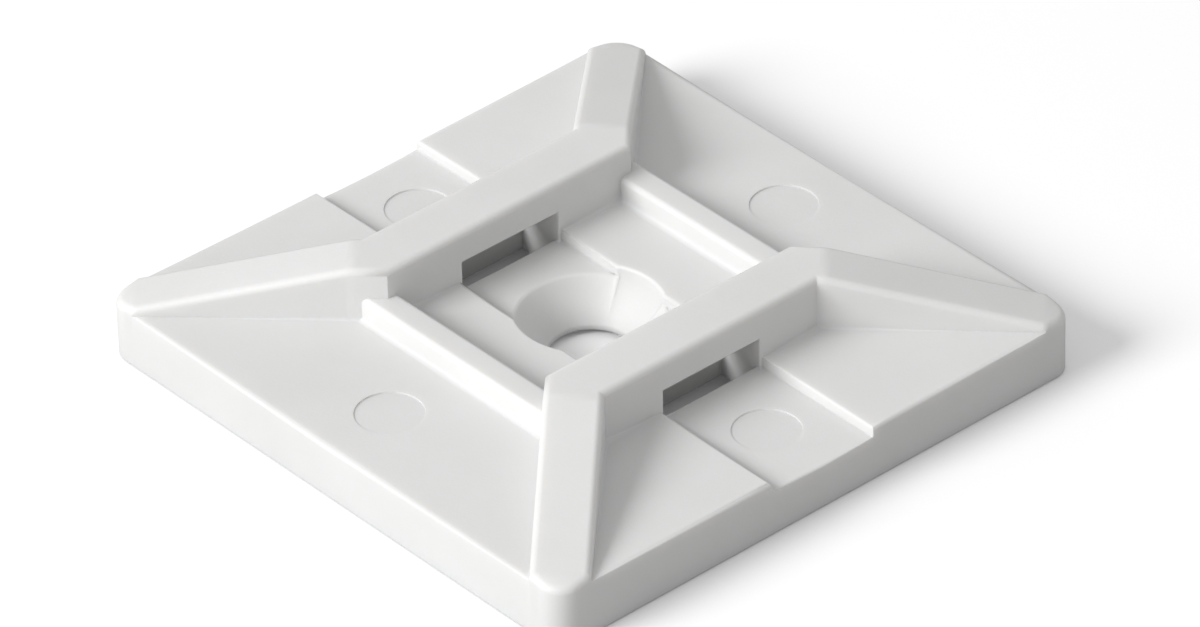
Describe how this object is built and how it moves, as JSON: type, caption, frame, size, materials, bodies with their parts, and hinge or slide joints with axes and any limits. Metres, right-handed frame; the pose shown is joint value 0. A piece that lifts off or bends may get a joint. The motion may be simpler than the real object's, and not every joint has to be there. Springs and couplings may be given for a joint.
{
  "type": "cable tie mount",
  "caption": "Square screw-on cable tie mount: a flat plate with raised bars that a tie threads under, corner ribs and a countersunk hole.",
  "frame": {"origin": "on the screw hole's axis, at the mounting surface that the plate is fixed to", "axes": "+X the way the tie passes, +Y along the bars, +Z away from the mounting surface"},
  "size_m": [0.028, 0.028, 0.0051],
  "materials": {
    "nylon": "natural white nylon with a fine satin moulded surface"
  },
  "bodies": {
    "root": {"mount": "nylon"}
  },
  "joints": []
}
